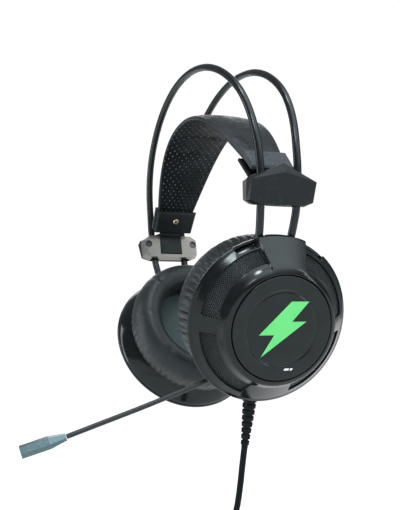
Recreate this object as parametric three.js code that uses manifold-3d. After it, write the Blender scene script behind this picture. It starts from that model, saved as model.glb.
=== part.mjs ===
// Over-ear gaming headset: two wire hoops, a self-adjusting headband strap on two sliders, two tilting ear
// cups, a swinging boom microphone and a USB lead. Millimetres, +Z up, +X towards the wearer's left ear,
// -Y forward. The origin is the middle of the wearer's head, halfway between the two ear cups.
import * as THREE from "three";
import { mergeVertices } from "three/addons/utils/BufferGeometryUtils.js";
import { ConvexGeometry } from "three/addons/geometries/ConvexGeometry.js";
import Module from "manifold-3d";

const wasm = await Module();
wasm.setup();

// ---- Driving dimensions ----------------------------------------------------------------------------------
const GAP = 0.3; // clearance between pieces that touch on the real headset

// Ear cups. A cup's own frame has its origin in the middle of its rim: x to the rear, y up the cup, z outward.
const CUP_X = 65; // from the origin to the middle of a cup's rim
const CUP_TILT = THREE.MathUtils.degToRad(21.9); // the outer face looks down by this much
const CUP_YAW = THREE.MathUtils.degToRad(2); // and forward by this much
const RIM_R = 50;
const WALL = 2;
const FLOOR_Z = -12; // the housing's back, where the ear pad fastens
const DISC_R = 30.7;
const DISC_Z = 20.7;
const SHELF_Z = 16.9; // the front cover's inner shelf, which carries the centre disc
const WINDOW_R = [37.6, 44.9];
const WINDOW_ANGLES = [[106, 174], [187, 250], [290, 353], [6, 67]];
const SPOKE_ANGLES = [67.6, 105.4]; // the raised spoke above the disc
const PAD_HOLE_R = 29;
const BAFFLE_R = 30.5;
const DRIVER_R = 23.9;

// Wire hoops: each side is an arc about the point (0, HOOP_Z), which the sliders run on.
const HOOP_R = 91.5;
const HOOP_Z = 89;
const SHOULDER_R = 68.2;
const CROWN_R = 100.1;
const ARC_TOP = THREE.MathUtils.degToRad(14);
const ARC_FOOT = THREE.MathUtils.degToRad(-36);
const WIRE_R = 2.35;

// The pivot that each cup tilts on, in the cup's frame.
const PIVOT_Y = 38.5;
const PIVOT_Z = -4.1;
const PIN_R = 1.6;
const ANCHOR_HALF = 14.6;

// Sliders and the strap's end caps.
const SLIDER_ANGLE = THREE.MathUtils.degToRad(12); // below the horizontal, about the hoop's arc centre
const SCREW_Y = 17.4;
const SCREW_Z = 3;
const TONGUE_W = 16;
const TONGUE_T = 1.8;
const CAP = { x: 76.1, z: 90.8, tilt: THREE.MathUtils.degToRad(40), length: 17, thick: 9.2 };
const RIVET_Z = 1.4;

// Headband strap.
const STRAP_CROWN_Z = 139.5;
const STRAP_END_T = 3.4;
const STRAP_CROWN_T = 7;
const STRAP_CROWN_HALF = 20.9;

// Microphone.
const KNUCKLE = { r: 45.5, angle: THREE.MathUtils.degToRad(-126.5), z: -6, radius: 4.6 };
const BOOM_R = 1.45;
const BOOM_MID = [37.6, -69.7, -47];
const BOOM_END = [28.2, -112.6, -61.5];
const MIC_TIP = [22, -137.5, -68.8];

// Lead.
const CORD_R = 2;
const RELIEF = { r: 43.5, angle: THREE.MathUtils.degToRad(-94.5), z: -6, length: 36.5 };
const RELIEF_DIRECTION = new THREE.Vector3(-0.29, -0.045, -0.956).normalize();
const CORD_POINTS = [
  [28.9, -4.9, -85],
  [25, -5.5, -98],
  [20.6, -6.2, -111],
  [15.9, -6.8, -122],
];
const TAIL_POINTS = [[-0.9, -7, -173.9], [-0.9, -7, -177], [-0.9, -7, -180.7]]; // from the coil to the plug
const COIL = { x: 24.6, y: -7, z: -153.6, radius: 22, half: 8.3 };
const TIE_ANGLE = THREE.MathUtils.degToRad(75);
const PLUG = { x: -0.9, y: -7, z: -181, body: [15.4, 8, 30], shell: [12, 4.5, 18.75] };

// ---- Materials -------------------------------------------------------------------------------------------
const finish = (color, roughness, metalness = 0) =>
  new THREE.MeshStandardMaterial({ color, roughness, metalness });
const GLOSS_BLACK = finish(0x0d0e10, 0.12);
const SATIN_BLACK = finish(0x17181a, 0.45);
const MESH_BLACK = finish(0x202224, 0.6, 0.3);
const WIRE_BLACK = finish(0x121315, 0.22, 0.4);
const SLIDER_GREY = finish(0x8d8b86, 0.35, 0.6);
const STEEL = finish(0xb9bcc0, 0.25, 1);
const LEATHERETTE = finish(0x1b1c1f, 0.5);
const CLOTH = finish(0x2a3133, 0.95);
const RUBBER = finish(0x1a1b1d, 0.65);
const GLOW_GREEN = finish(0x59f582, 0.3);
const BOARD_GREEN = finish(0x1f4d35, 0.5);
const MIC_STEEL_BLUE = finish(0x7f979f, 0.3, 0.8);
const BRASS = finish(0xd8cfae, 0.3, 0.8);

// ---- Solids ----------------------------------------------------------------------------------------------
// A closed geometry as a manifold-3d solid. Welding leaves slivers with a repeated corner, which are dropped.
function solid(geometry) {
  const bare = new THREE.BufferGeometry().setAttribute("position", geometry.getAttribute("position").clone());
  if (geometry.index) bare.setIndex(geometry.index.clone());
  const welded = mergeVertices(bare, 1e-3);
  const corners = [...welded.index.array];
  const kept = [];
  for (let i = 0; i < corners.length; i += 3) {
    const [a, b, c] = corners.slice(i, i + 3);
    if (a !== b && b !== c && c !== a) kept.push(a, b, c);
  }
  return new wasm.Manifold(
    new wasm.Mesh({
      numProp: 3,
      vertProperties: welded.getAttribute("position").array,
      triVerts: new Uint32Array(kept),
    }),
  );
}

function geometryOf(made) {
  const mesh = made.getMesh();
  const geometry = new THREE.BufferGeometry();
  geometry.setAttribute("position", new THREE.BufferAttribute(mesh.vertProperties, 3));
  geometry.setIndex(new THREE.BufferAttribute(mesh.triVerts, 1));
  geometry.computeVertexNormals();
  return geometry;
}

const cut = (base, ...tools) => geometryOf(tools.reduce((left, tool) => left.subtract(solid(tool)), solid(base)));
const join = (...pieces) => geometryOf(pieces.map(solid).reduce((sum, piece) => sum.add(piece)));
const meet = (a, b) => geometryOf(solid(a).intersect(solid(b)));

// A profile of [radius, height] points turned about z. It closes on itself, or on the axis if it starts there.
function turned(profile, segments = 30) {
  const area = profile.reduce((sum, [r, h], i) => {
    const [nextR, nextH] = profile[(i + 1) % profile.length];
    return sum + r * nextH - nextR * h;
  }, 0);
  const points = profile.map(([r, h]) => new THREE.Vector2(r, h));
  const onAxis = points[0].x === 0 && points[points.length - 1].x === 0;
  if (!onAxis) points.push(points[0].clone());
  if (area < 0) points.reverse();
  return new THREE.LatheGeometry(points, segments).rotateX(Math.PI / 2);
}

const box = (x0, x1, y0, y1, z0, z1) =>
  new THREE.BoxGeometry(x1 - x0, y1 - y0, z1 - z0).translate((x0 + x1) / 2, (y0 + y1) / 2, (z0 + z1) / 2);

const rod = (radius, z0, z1, segments = 20) =>
  new THREE.CylinderGeometry(radius, radius, z1 - z0, segments).rotateX(Math.PI / 2).translate(0, 0, (z0 + z1) / 2);

function extruded(shape, z0, z1, curveSegments = 12) {
  const geometry = new THREE.ExtrudeGeometry(shape, { depth: z1 - z0, bevelEnabled: false, curveSegments });
  return geometry.translate(0, 0, z0);
}

// A slice of a ring between two radii and two angles in degrees.
function sector(innerR, outerR, fromDegrees, toDegrees, z0, z1) {
  const [from, to] = [fromDegrees, toDegrees].map(THREE.MathUtils.degToRad);
  const shape = new THREE.Shape();
  shape.absarc(0, 0, outerR, from, to, false);
  shape.absarc(0, 0, innerR, to, from, true);
  shape.closePath();
  return extruded(shape, z0, z1, 5);
}

// A flat outline in the x-z plane given a width along y, centred on y = 0.
const slab = (shape, width, curveSegments) =>
  extruded(shape, -width / 2, width / 2, curveSegments).rotateX(Math.PI / 2);

const outline = (points) => new THREE.Shape(points.map(([x, y]) => new THREE.Vector2(x, y)));

function circle(radius, sides) {
  const shape = new THREE.Shape();
  for (let i = 0; i < sides; i += 1) {
    const turn = (2 * Math.PI * i) / sides;
    const point = [radius * Math.cos(turn), radius * Math.sin(turn)];
    if (i === 0) shape.moveTo(...point);
    else shape.lineTo(...point);
  }
  shape.closePath();
  return shape;
}

const tube = (path, radius, steps, sides = 10) =>
  new THREE.ExtrudeGeometry(circle(radius, sides), { steps, extrudePath: path, bevelEnabled: false });

const hull = (points) => new ConvexGeometry(points.map((point) => new THREE.Vector3(...point)));

const mirrored = (points) => points.flatMap(([x, y, z]) => (y === 0 ? [[x, y, z]] : [[x, y, z], [x, -y, z]]));

// ---- Frames ----------------------------------------------------------------------------------------------
const headset = new THREE.Group();

const outward = new THREE.Vector3(Math.cos(CUP_TILT), 0, -Math.sin(CUP_TILT));
outward.applyAxisAngle(new THREE.Vector3(0, 0, 1), -CUP_YAW);
const rearward = new THREE.Vector3(Math.sin(CUP_YAW), Math.cos(CUP_YAW), 0);
const upward = new THREE.Vector3().crossVectors(outward, rearward);
const CUP_FRAME = new THREE.Matrix4().makeBasis(rearward, upward, outward).setPosition(CUP_X, 0, 0);

const onCup = (radius, angle, z) =>
  new THREE.Vector3(radius * Math.cos(angle), radius * Math.sin(angle), z).applyMatrix4(CUP_FRAME);

function sideGroups(side) {
  const whole = new THREE.Group();
  if (side === "right") whole.scale.x = -1;
  const cup = new THREE.Group();
  cup.applyMatrix4(CUP_FRAME);
  const slider = new THREE.Group();
  slider.position.set(HOOP_R * Math.cos(SLIDER_ANGLE), 0, HOOP_Z - HOOP_R * Math.sin(SLIDER_ANGLE));
  slider.rotation.y = SLIDER_ANGLE;
  const cap = new THREE.Group();
  cap.position.set(CAP.x, 0, CAP.z);
  cap.rotation.y = -CAP.tilt;
  whole.add(cup, slider, cap);
  headset.add(whole);
  return { whole, cup, slider, cap };
}

function place(group, name, geometry, material) {
  const mesh = new THREE.Mesh(geometry, material);
  mesh.name = name;
  group.add(mesh);
}

// ---- Hoops -----------------------------------------------------------------------------------------------
// Half the distance between the two hoops at a height: nearly parallel where the sliders run, wider above.
const halfSpacing = (z) => 11.5 + 0.024 * (z - 60) + 0.045 * Math.max(0, z - 98) - 0.056 * Math.max(0, 60 - z);

// One hoop, from inside the right cup over the head into the left cup, as three tangent arcs on each side.
class HoopPath extends THREE.Curve {
  constructor(forward) {
    super();
    this.forward = forward;
    const shoulder = new THREE.Vector2(Math.cos(ARC_TOP), Math.sin(ARC_TOP)).multiplyScalar(HOOP_R - SHOULDER_R);
    this.shoulder = shoulder.add(new THREE.Vector2(0, HOOP_Z));
    this.join = Math.acos(this.shoulder.x / (CROWN_R - SHOULDER_R));
    this.crownZ = this.shoulder.y - (CROWN_R - SHOULDER_R) * Math.sin(this.join);
    this.lengths = [
      HOOP_R * (ARC_TOP - ARC_FOOT),
      SHOULDER_R * (this.join - ARC_TOP),
      CROWN_R * (Math.PI / 2 - this.join),
    ];
  }
  side(distance) {
    const [arc, shoulder] = this.lengths;
    if (distance < arc) {
      const angle = ARC_FOOT + distance / HOOP_R;
      return [HOOP_R * Math.cos(angle), HOOP_Z + HOOP_R * Math.sin(angle)];
    }
    if (distance < arc + shoulder) {
      const angle = ARC_TOP + (distance - arc) / SHOULDER_R;
      return [this.shoulder.x + SHOULDER_R * Math.cos(angle), this.shoulder.y + SHOULDER_R * Math.sin(angle)];
    }
    const angle = this.join + (distance - arc - shoulder) / CROWN_R;
    return [CROWN_R * Math.cos(angle), this.crownZ + CROWN_R * Math.sin(angle)];
  }
  getPoint(t) {
    const half = this.lengths.reduce((sum, length) => sum + length);
    const along = 2 * half * t;
    const [x, z] = this.side(Math.min(along, 2 * half - along));
    return new THREE.Vector3(along < half ? x : -x, (this.forward ? -1 : 1) * halfSpacing(z), z);
  }
}
const hoopPaths = { front: new HoopPath(true), rear: new HoopPath(false) };

function addHoops() {
  for (const [end, path] of Object.entries(hoopPaths)) {
    place(headset, "hoop_" + end, tube(path, WIRE_R, 52, 8), WIRE_BLACK);
  }
}

// A ring for each wire, about the hoops' arc centre, that clears the wire along the whole slide.
function wireClearance() {
  const [halfTall, halfWide, bevel, middle] = [2.7, 3.3, 1.2, 12];
  const section = [
    [-halfTall, halfWide - bevel], [-halfTall, bevel - halfWide], [-bevel, -halfWide], [bevel, -halfWide],
    [halfTall, bevel - halfWide], [halfTall, halfWide - bevel], [bevel, halfWide], [-bevel, halfWide],
  ];
  return [-1, 1].map((sign) => {
    const ring = turned(section.map(([r, y]) => [HOOP_R + r, sign * middle + y]), 120);
    return ring.rotateX(-Math.PI / 2).translate(0, 0, HOOP_Z);
  });
}

// ---- Ear cup ---------------------------------------------------------------------------------------------
const HOUSING_OUTSIDE = [[41.7, FLOOR_Z], [45.2, -8.2], [47.8, -4.6], [49.4, -1.1]];
const HOUSING_INSIDE = [[47.4, -1.1], [45.6, -4.6], [40.9, FLOOR_Z + WALL]];

// The slots in the top of the rim that the hoops pass through and swing in.
function hoopSlots() {
  return [-10.2, 10.2].flatMap((middle) => [
    box(middle - 3.1, middle + 3.1, 40, 48, -7, 0.9),
    box(middle - 3.2, middle + 3.2, 47.5, 56, -6.8, 1.5),
  ]);
}

function housingGeometry(side) {
  const shell = turned([[28, FLOOR_Z], ...HOUSING_OUTSIDE, ...HOUSING_INSIDE, [28, FLOOR_Z + WALL]]);
  const envelope = turned([[0, FLOOR_Z], ...HOUSING_OUTSIDE, [0, -1.1]]);
  const lugs = [-1, 1].map((sign) => {
    const middle = sign * (ANCHOR_HALF + 3);
    return meet(envelope, box(middle - 2.3, middle + 2.3, PIVOT_Y - 4, RIM_R, -10.5, -1.2));
  });
  const pinHole = rod(PIN_R + GAP, -30, 30).rotateY(Math.PI / 2).translate(0, PIVOT_Y, PIVOT_Z);
  const tools = [pinHole, ...hoopSlots()];
  if (side === "left") tools.push(...micPocket(), ...reliefHoles());
  return cut(join(shell, ...lugs), ...tools);
}

function frontCoverGeometry() {
  const cone = turned([
    [48, -0.8], [RIM_R, -0.8], [RIM_R, 0.9], [48.6, 1.6], [37.2, 13.6], [34.2, 19.2], [31.2, 20.3],
    [31.2, SHELF_Z], [28.5, SHELF_Z], [28.5, SHELF_Z - 1.5], [33, SHELF_Z - 1.5], [46.6, 0.6],
  ]);
  const raised = turned([
    [47.4, -0.8], [51, -0.8], [51, 1.8], [50.2, 2.9], [36.8, 16.4], [35.8, 14.4], [47.4, 2.2],
  ]);
  const spoke = meet(raised, sector(30, 56, ...SPOKE_ANGLES, -5, 25));
  const windows = WINDOW_ANGLES.map(([from, to]) => sector(...WINDOW_R, from, to, -5, 25));
  return cut(join(cone, spoke), ...windows, ...hoopSlots());
}

const grilleGeometry = () => turned([[45.6, 1.18], [36.07, 11.3], [35.4, 10.7], [44.95, 0.55]]);

const BOLT = [[4, 16], [-14.5, -3.6], [-5, -3.6], [-12, -16.5], [14.5, 4.2], [5.5, 4.2], [15, 16]];

// A clockwise or anticlockwise outline with each edge moved inwards.
function inset(points, distance) {
  const corners = points.map(([x, y]) => new THREE.Vector2(x, y));
  const sense = THREE.ShapeUtils.isClockWise(corners) ? 1 : -1;
  return corners.map((corner, i) => {
    const before = corner.clone().sub(corners.at(i - 1)).normalize();
    const after = corners[(i + 1) % corners.length].clone().sub(corner).normalize();
    const normals = [before, after].map((along) => new THREE.Vector2(along.y, -along.x).multiplyScalar(sense));
    const mitre = normals[0].clone().add(normals[1]);
    const point = corner.addScaledVector(mitre, (2 * distance) / mitre.lengthSq());
    return [point.x, point.y];
  });
}

function centreDiscGeometry() {
  const disc = turned([
    [0, SHELF_Z + GAP], [DISC_R, SHELF_Z + GAP], [DISC_R, DISC_Z - 0.5], [DISC_R - 0.5, DISC_Z],
    [22.4, DISC_Z], [21.6, DISC_Z - 0.8], [20.8, DISC_Z - 0.3], [0, DISC_Z - 0.6],
  ]);
  return cut(disc, extruded(outline(BOLT), SHELF_Z, DISC_Z + 1));
}

function ledBoardGeometry() {
  const leds = [0, 120, 240].map((degrees) => {
    const turn = THREE.MathUtils.degToRad(degrees);
    return box(-1.75, 1.75, -1.4, 1.4, 14.8, 16.2).translate(9 * Math.cos(turn), 9 * Math.sin(turn), 0);
  });
  return join(rod(28, 13.4, 15, 32), ...leds);
}

const baffleGeometry = () =>
  turned([[DRIVER_R + 0.4, FLOOR_Z - GAP], [BAFFLE_R, FLOOR_Z - GAP], [BAFFLE_R, -14.8], [DRIVER_R + 0.4, -14.8]]);

function driverGeometry() {
  const front = [[0, -14], [7, -14.4], [9, -13.2], [20.5, -14.5], [DRIVER_R, -14.5]];
  const back = [[DRIVER_R, -12], [26.6, -12], [26.6, -10.4], [21, -9.6], [15, -5], [15, -3.5], [0, -3.5]];
  return turned([...front, ...back], 24);
}

const earPadGeometry = () =>
  turned([
    [31.2, FLOOR_Z - GAP], [43.2, FLOOR_Z - GAP], [45.6, -17], [46.4, -23], [45.8, -29], [43, -34.6],
    [38.5, -37.8], [33.8, -37.6], [30.4, -35.2], [PAD_HOLE_R, -31], [30.2, -20],
  ]);

// The block that both wires end in. The cup tilts on the two pins in its sides.
function anchorGeometry() {
  const block = box(-ANCHOR_HALF, ANCHOR_HALF, 34.2, 42.4, -8.2, -0.4);
  const cavity = turned([[0, -9], [41.2, -9], [44.9, -4], [46, -0.4], [0, -0.4]]);
  const pinHole = rod(PIN_R + GAP, 12.8, 30).rotateY(Math.PI / 2).translate(0, PIVOT_Y, PIVOT_Z);
  const otherHole = pinHole.clone().rotateZ(Math.PI).translate(0, 2 * PIVOT_Y, 0);
  const inverse = CUP_FRAME.clone().invert();
  const wires = Object.values(hoopPaths).map((path) => tube(path, WIRE_R + GAP, 52, 8).applyMatrix4(inverse));
  return cut(meet(block, cavity), pinHole, otherHole, ...wires);
}

function addCup(side, { cup }) {
  place(cup, side + "_housing", housingGeometry(side), GLOSS_BLACK);
  place(cup, side + "_front_cover", frontCoverGeometry(), GLOSS_BLACK);
  place(cup, side + "_grille", grilleGeometry(), MESH_BLACK);
  place(cup, side + "_centre_disc", centreDiscGeometry(), GLOSS_BLACK);
  const lens = extruded(outline(inset(BOLT, GAP)), SHELF_Z + GAP, DISC_Z);
  place(cup, side + "_emblem_lens", lens, GLOW_GREEN);
  place(cup, side + "_led_board", ledBoardGeometry(), BOARD_GREEN);
  place(cup, side + "_baffle", baffleGeometry(), SATIN_BLACK);
  place(cup, side + "_driver", driverGeometry(), SATIN_BLACK);
  place(cup, side + "_speaker_cloth", rod(BAFFLE_R, -16, -15.1, 36), CLOTH);
  place(cup, side + "_ear_pad", earPadGeometry(), LEATHERETTE);
  place(cup, side + "_hoop_anchor", anchorGeometry(), SATIN_BLACK);
  for (const [end, sign] of [["front", -1], ["rear", 1]]) {
    const pin = rod(PIN_R, 13.1, ANCHOR_HALF + 5.2, 16).rotateY(Math.PI / 2 * sign);
    place(cup, side + "_pivot_pin_" + end, pin.translate(0, PIVOT_Y, PIVOT_Z), STEEL);
  }
}

// ---- Slider and strap cap --------------------------------------------------------------------------------
// The slider's frame: x away from the head, y to the rear, z up along the hoops, origin between the wires.
const SLIDER_ROOF = 16.8;
const screwHole = (radius, x0, x1) => (sign) =>
  rod(radius, x0, x1).rotateY(Math.PI / 2).translate(0, sign * SCREW_Y, SCREW_Z);

// Wire clearances moved from the head's frame into a slider's.
function wireClearanceInSlider({ slider }) {
  slider.updateMatrix();
  const inverse = slider.matrix.clone().invert();
  return wireClearance().map((ring) => ring.applyMatrix4(inverse));
}

function sliderShellGeometry(groups) {
  const body = hull(mirrored([
    [6.4, 20.9, 7.3], [7.2, 0, 12], [3.6, 20.5, -4.6], [3.8, 14.5, -6.6], [4, 0, SLIDER_ROOF + 0.6],
    [0.2, 21.3, 8], [0.2, 0, SLIDER_ROOF], [0.2, 21.3, -5], [0.2, 14.5, -7.5],
  ]));
  return cut(body, ...wireClearanceInSlider(groups), ...[-1, 1].map(screwHole(1.4, -2, 2.8)));
}

function sliderPlateGeometry(groups) {
  const body = hull(mirrored([
    [-7.2, 20.3, 6.3], [-7.4, 16, 9.5], [-5.8, 20.3, -4.5], [-5.8, 16.5, -6.7],
    [-0.2, 21.1, 7.6], [-0.2, 16, 10.6], [-0.2, 21.1, -5], [-0.2, 16.5, -7.2],
  ]));
  const recess = slab(outline([[-4.7, -4.5], [-9, -4.5], [-9, 13], [-5.9, 13]]), TONGUE_W + 0.8);
  const holes = [-1, 1].flatMap((sign) => [screwHole(1.5, -9, 1)(sign), screwHole(2.6, -9, -4.4)(sign)]);
  return cut(body, recess, ...wireClearanceInSlider(groups), ...holes);
}

const screwGeometry = (sign) =>
  turned([[0, -6], [2.3, -6], [2.3, -4.7], [1.1, -4.7], [1.1, 2.4], [0, 2.4]], 12)
    .rotateY(Math.PI / 2).translate(0, sign * SCREW_Y, SCREW_Z);

// A bent strip: a polyline of [x, z] points given a thickness.
function strip(points, thickness) {
  const path = points.map(([x, z]) => new THREE.Vector2(x, z));
  const normals = path.map((point, i) => {
    const before = path[Math.max(0, i - 1)];
    const after = path[Math.min(path.length - 1, i + 1)];
    const along = after.clone().sub(before).normalize();
    return new THREE.Vector2(-along.y, along.x);
  });
  const offset = (distance) => path.map((point, i) => point.clone().addScaledVector(normals[i], distance));
  return new THREE.Shape([...offset(thickness / 2), ...offset(-thickness / 2).reverse()]);
}

const tongueGeometry = () =>
  slab(strip([[-6, -4], [-7.1, 9.6], [-8.1, 11.4], [-10.9, 12.9], [-14.9, 15.4]], TONGUE_T), TONGUE_W);

// A cap's frame: x away from the head, y to the rear, z up along the strap, origin in the middle of the cap.
function capPlateGeometry(outer) {
  const half = CAP.length / 2;
  const inner = STRAP_END_T / 2 + GAP;
  const face = CAP.thick / 2;
  const sign = outer ? 1 : -1;
  const body = hull(mirrored([
    [sign * inner, 14.8, half], [sign * inner, 14.2, -half],
    [sign * (face - 0.9), 14.8, half], [sign * (face - 0.9), 14.2, -half],
    [sign * face, 13.9, half - 0.9], [sign * face, 13.3, 0.9 - half],
  ]));
  // The tongue swings towards the inner plate as the slider rises.
  const pocket = box(outer ? -1 : -3.5, outer ? 2.6 : 1, -8.7, 8.7, -half - 1, -1);
  const shank = rod(1.6, outer ? 0 : -6, outer ? 3.4 : 0, 16).rotateY(Math.PI / 2).translate(0, 0, RIVET_Z);
  return cut(body, pocket, shank);
}

const rivetGeometry = () =>
  turned([[0.7, -5.3], [1.7, -5.3], [2.1, -4.95], [1.3, -4.95], [1.3, 3], [0.7, 3]], 14)
    .rotateY(Math.PI / 2).translate(0, 0, RIVET_Z);

function addSlider(side, groups) {
  const { slider, cap } = groups;
  place(slider, side + "_slider_shell", sliderShellGeometry(groups), GLOSS_BLACK);
  place(slider, side + "_slider_plate", sliderPlateGeometry(groups), SLIDER_GREY);
  place(slider, side + "_slider_tongue", tongueGeometry(), SATIN_BLACK);
  place(slider, side + "_slider_screw_front", screwGeometry(-1), STEEL);
  place(slider, side + "_slider_screw_rear", screwGeometry(1), STEEL);
  place(cap, side + "_cap_outer", capPlateGeometry(true), SATIN_BLACK);
  place(cap, side + "_cap_inner", capPlateGeometry(false), SATIN_BLACK);
  place(cap, side + "_cap_rivet", rivetGeometry(), BRASS);
}

// ---- Headband strap --------------------------------------------------------------------------------------
// The strap's middle surface, from the end inside the left cap over the crown to the right cap.
function strapCurve() {
  const lean = new THREE.Vector2(-Math.sin(CAP.tilt), Math.cos(CAP.tilt));
  const start = new THREE.Vector2(CAP.x, CAP.z).addScaledVector(lean, -0.8);
  const reach = start.clone().addScaledVector(lean, 32.8);
  const crown = new THREE.Vector2(0, STRAP_CROWN_Z);
  const half = new THREE.CubicBezierCurve(start, reach, new THREE.Vector2(34, STRAP_CROWN_Z), crown);
  const left = half.getSpacedPoints(18);
  const right = left.slice(0, -1).reverse().map((point) => new THREE.Vector2(-point.x, point.y));
  return [...left, ...right];
}

const strapHalfWidth = (x) => STRAP_CROWN_HALF - 7.6 * (Math.abs(x) / 70) ** 2.6;

// One of the strap's two layers, as an arched slab cut to the strap's plan, with holes for the rivets.
function strapLayerGeometry(outer) {
  const path = strapCurve();
  const last = path.length - 1;
  const edge = (share) => path.map((point, i) => {
    const along = path[Math.min(last, i + 1)].clone().sub(path[Math.max(0, i - 1)]).normalize();
    const swell = Math.sin((Math.PI * i) / last) ** 2;
    const thickness = STRAP_END_T + (STRAP_CROWN_T - STRAP_END_T) * swell;
    const distance = share * (thickness / 2 - GAP / 2) + (outer ? GAP / 2 : -GAP / 2);
    return new THREE.Vector2(point.x + along.y * distance, point.y - along.x * distance);
  });
  const arch = slab(new THREE.Shape([...edge(0), ...edge(outer ? 1 : -1).reverse()]), 60);
  const stations = Array.from({ length: 25 }, (_, i) => -84 + 7 * i);
  const plan = [
    ...stations.map((x) => [x, strapHalfWidth(x)]),
    ...stations.reverse().map((x) => [x, -strapHalfWidth(x)]),
  ];
  const holes = [-1, 1].map((sign) => {
    const hole = rod(1.6, -8, 8, 16).rotateY(Math.PI / 2).translate(0, 0, RIVET_Z);
    return hole.rotateY(-CAP.tilt).translate(CAP.x, 0, CAP.z).rotateZ(sign < 0 ? Math.PI : 0);
  });
  return cut(meet(arch, extruded(outline(plan), 60, 160)), ...holes);
}

function addStrap() {
  place(headset, "strap_cover", strapLayerGeometry(true), LEATHERETTE);
  place(headset, "strap_lining", strapLayerGeometry(false), LEATHERETTE);
}

// ---- Microphone ------------------------------------------------------------------------------------------
const knucklePlace = new THREE.Vector2(Math.cos(KNUCKLE.angle), Math.sin(KNUCKLE.angle)).multiplyScalar(KNUCKLE.r);
const boomStart = onCup(KNUCKLE.r, KNUCKLE.angle, KNUCKLE.z);
const boomPath = new THREE.CatmullRomCurve3([
  boomStart.clone().lerp(new THREE.Vector3(...BOOM_MID), 0.045),
  boomStart.clone().lerp(new THREE.Vector3(...BOOM_MID), 0.5),
  new THREE.Vector3(...BOOM_MID),
  new THREE.Vector3(...BOOM_MID).lerp(new THREE.Vector3(...BOOM_END), 0.5),
  new THREE.Vector3(...BOOM_END),
]);

// The pocket for the knuckle in the housing's wall, its axle hole, and the slot that the boom swings in.
function micPocket() {
  const { x, y } = knucklePlace;
  const seat = rod(KNUCKLE.radius + 0.5, FLOOR_Z + WALL + GAP, 2, 28).translate(x, y, 0);
  const axle = rod(1.9, FLOOR_Z - 1, 0, 16).translate(x, y, 0);
  const sweep = sector(0.5, 12, 140, 222, -8.4, -3.4).translate(x, y, 0);
  return [seat, axle, sweep];
}

function knuckleGeometry() {
  const { radius } = KNUCKLE;
  const body = turned([[0, -11.7], [1.6, -11.7], [1.6, -9.3], [radius, -9.3], [radius, -1.4], [0, -1.4]], 28);
  const turn = CUP_FRAME.clone().invert();
  const socket = tube(boomPath, BOOM_R + GAP, 12).applyMatrix4(turn);
  return cut(body.translate(knucklePlace.x, knucklePlace.y, 0), socket);
}

function addMicrophone({ cup }) {
  place(cup, "mic_knuckle", knuckleGeometry(), SATIN_BLACK);
  place(headset, "mic_boom", tube(boomPath, BOOM_R, 22, 8), RUBBER);
  const capsule = new THREE.Group();
  const tip = new THREE.Vector3(...MIC_TIP);
  const end = new THREE.Vector3(...BOOM_END);
  const direction = tip.clone().sub(end).normalize();
  capsule.position.copy(end);
  capsule.quaternion.setFromUnitVectors(new THREE.Vector3(0, 0, 1), direction);
  const length = tip.distanceTo(end);
  const shell = turned([
    [0, GAP], [2.2, GAP], [3.9, 10], [3.9, length], [3, length], [3, length - 8], [0, length - 8],
  ], 6);
  place(capsule, "mic_capsule", shell, MIC_STEEL_BLUE);
  place(capsule, "mic_element", rod(2.4, length - 7.6, length - 0.6, 16), MESH_BLACK);
  headset.add(capsule);
}

// ---- Lead ------------------------------------------------------------------------------------------------
const reliefRoot = onCup(RELIEF.r, RELIEF.angle, RELIEF.z);
const reliefTurn = new THREE.Quaternion().setFromUnitVectors(new THREE.Vector3(0, 0, 1), RELIEF_DIRECTION);
const reliefEnd = reliefRoot.clone().addScaledVector(RELIEF_DIRECTION, RELIEF.length);

function reliefHoles() {
  const inverse = CUP_FRAME.clone().invert();
  const holes = [rod(4.2, -6, 12, 16), rod(5.8, -6, -0.2, 16)];
  return holes.map((hole) => hole.applyQuaternion(reliefTurn).translate(...reliefRoot).applyMatrix4(inverse));
}

// A flange inside the wall, a neck through it, and ribs that taper down to the cord.
function addStrainRelief() {
  const ribs = 7;
  const neck = 6.4;
  const pitch = (RELIEF.length - neck) / ribs;
  const profile = [[0, -2.2], [5.4, -2.2], [5.4, -0.6], [3.8, -0.6], [3.8, neck], [4.3, neck]];
  for (let i = 0; i < ribs; i += 1) {
    const from = neck + pitch * i;
    const radius = 4.3 - (1.7 * i) / (ribs - 1);
    profile.push([radius, from + 0.62 * pitch], [radius - 0.6, from + 0.68 * pitch]);
    if (i < ribs - 1) profile.push([radius - 0.28, from + pitch]);
  }
  profile.push([2, RELIEF.length], [0, RELIEF.length]);
  const relief = turned(profile, 12).applyQuaternion(reliefTurn).translate(...reliefRoot);
  place(headset, "strain_relief", relief, RUBBER);
}

function addCord() {
  const start = reliefEnd.clone().addScaledVector(RELIEF_DIRECTION, GAP);
  const route = [start, start.clone().addScaledVector(RELIEF_DIRECTION, 5)];
  const path = new THREE.CatmullRomCurve3([...route, ...CORD_POINTS.map((point) => new THREE.Vector3(...point))]);
  place(headset, "cord", tube(path, CORD_R, 16), RUBBER);
  const tail = new THREE.CatmullRomCurve3(TAIL_POINTS.map((point) => new THREE.Vector3(...point)));
  place(headset, "cord_tail", tube(tail, CORD_R, 2), RUBBER);
}

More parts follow.
